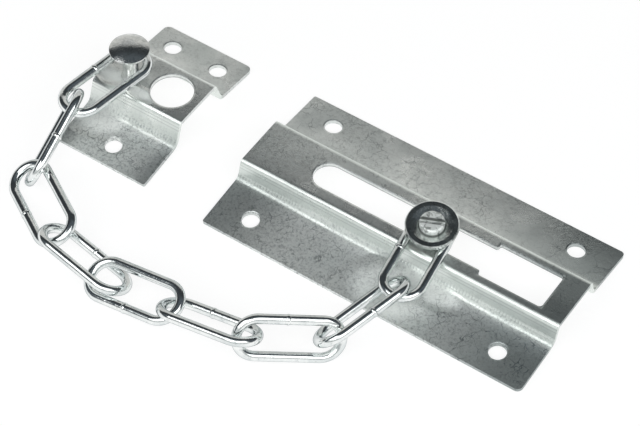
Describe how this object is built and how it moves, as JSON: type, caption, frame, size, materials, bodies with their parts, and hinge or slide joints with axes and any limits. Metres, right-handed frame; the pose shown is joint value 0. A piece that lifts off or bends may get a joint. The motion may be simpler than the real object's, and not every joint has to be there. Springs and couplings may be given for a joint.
{
  "type": "door_chain",
  "caption": "Door chain of zinc-plated steel: a slide plate with a keyhole channel and captive knob, a welded link chain, and a small raised plate with a mushroom stud",
  "frame": {"origin": "middle of the slide plate's four screw holes, on the face of the door that the plate's long edges rest on", "axes": "+X along the slide plate towards the wide end of the keyhole, +Y across it away from the chain, +Z away from the door"},
  "size_m": [0.152, 0.0932, 0.0224],
  "materials": {
    "slide_plate_zinc": "satin to bright zinc plating, mottled, with faint press lines along the bends",
    "anchor_zinc": "satin zinc plating, smooth grey far flange, mottled near flange",
    "link_zinc": "bright zinc plating on round wire",
    "knob_zinc": "bright turned zinc-plated steel",
    "rivet_zinc": "dull zinc-plated steel with a driven slot",
    "stud_zinc": "polished zinc-plated steel"
  },
  "bodies": {
    "slide_plate": {"slide_plate": "slide_plate_zinc"},
    "knob": {"knob_foot": "knob_zinc", "knob_neck": "knob_zinc", "knob_cap": "knob_zinc", "knob_rivet": "rivet_zinc"},
    "link_9": {"link_9": "link_zinc"},
    "link_8": {"link_8": "link_zinc"},
    "link_7": {"link_7": "link_zinc"},
    "link_6": {"link_6": "link_zinc"},
    "link_5": {"link_5": "link_zinc"},
    "link_4": {"link_4": "link_zinc"},
    "link_3": {"link_3": "link_zinc"},
    "link_2": {"link_2": "link_zinc"},
    "link_1": {"link_1": "link_zinc"},
    "anchor": {"anchor_plate": "anchor_zinc", "mushroom_stud": "stud_zinc"}
  },
  "joints": [
    {"name": "knob_slide", "type": "slide", "parent": "slide_plate", "child": "knob", "axis": [1, 0, 0], "range_m": [-0.034, 0.017]},
    {"name": "link_9_swivel", "type": "hinge", "parent": "knob", "child": "link_9", "pos_m": [0.0068, -0.0015, 0.0104], "axis": [0, 0, 1], "range_deg": [-25, 20]},
    {"name": "link_8_swivel", "type": "hinge", "parent": "link_9", "child": "link_8", "pos_m": [0.0102, -0.0206, 0.0087], "axis": [-0.1305, 0.1205, -0.9841], "range_deg": [-45, 45]},
    {"name": "link_7_swivel", "type": "hinge", "parent": "link_8", "child": "link_7", "pos_m": [0.0032, -0.0409, 0.0053], "axis": [-0.2306, -0.0301, 0.9726], "range_deg": [-35, 45]},
    {"name": "link_6_swivel", "type": "hinge", "parent": "link_7", "child": "link_6", "pos_m": [-0.0152, -0.0582, 0.0115], "axis": [-0.1503, -0.1804, -0.972], "range_deg": [-45, 12]},
    {"name": "link_5_swivel", "type": "hinge", "parent": "link_6", "child": "link_5", "pos_m": [-0.0394, -0.0592, 0.0078], "axis": [-0.0399, -0.2889, 0.9565], "range_deg": [-15, 45]},
    {"name": "link_4_swivel", "type": "hinge", "parent": "link_5", "child": "link_4", "pos_m": [-0.0595, -0.0577, 0.0048], "axis": [-0.1894, -0.3988, -0.8973], "range_deg": [-40, 12]},
    {"name": "link_3_swivel", "type": "hinge", "parent": "link_4", "child": "link_3", "pos_m": [-0.0795, -0.0557, 0.0061], "axis": [-0.0698, -0.3688, 0.9269], "range_deg": [-12, 45]},
    {"name": "link_2_swivel", "type": "hinge", "parent": "link_3", "child": "link_2", "pos_m": [-0.0948, -0.0439, 0.0046], "axis": [0.0301, 0.2706, -0.9622], "range_deg": [-45, 20]},
    {"name": "link_1_swivel", "type": "hinge", "parent": "link_2", "child": "link_1", "pos_m": [-0.0956, -0.0198, 0.0148], "axis": [0.1104, -0.281, 0.9533], "range_deg": [-45, 45]},
    {"name": "stud_swivel", "type": "hinge", "parent": "link_1", "child": "anchor", "pos_m": [-0.09212, -0.00156, 0.0152], "axis": [0, 0, 1], "range_deg": [-60, 60]}
  ]
}
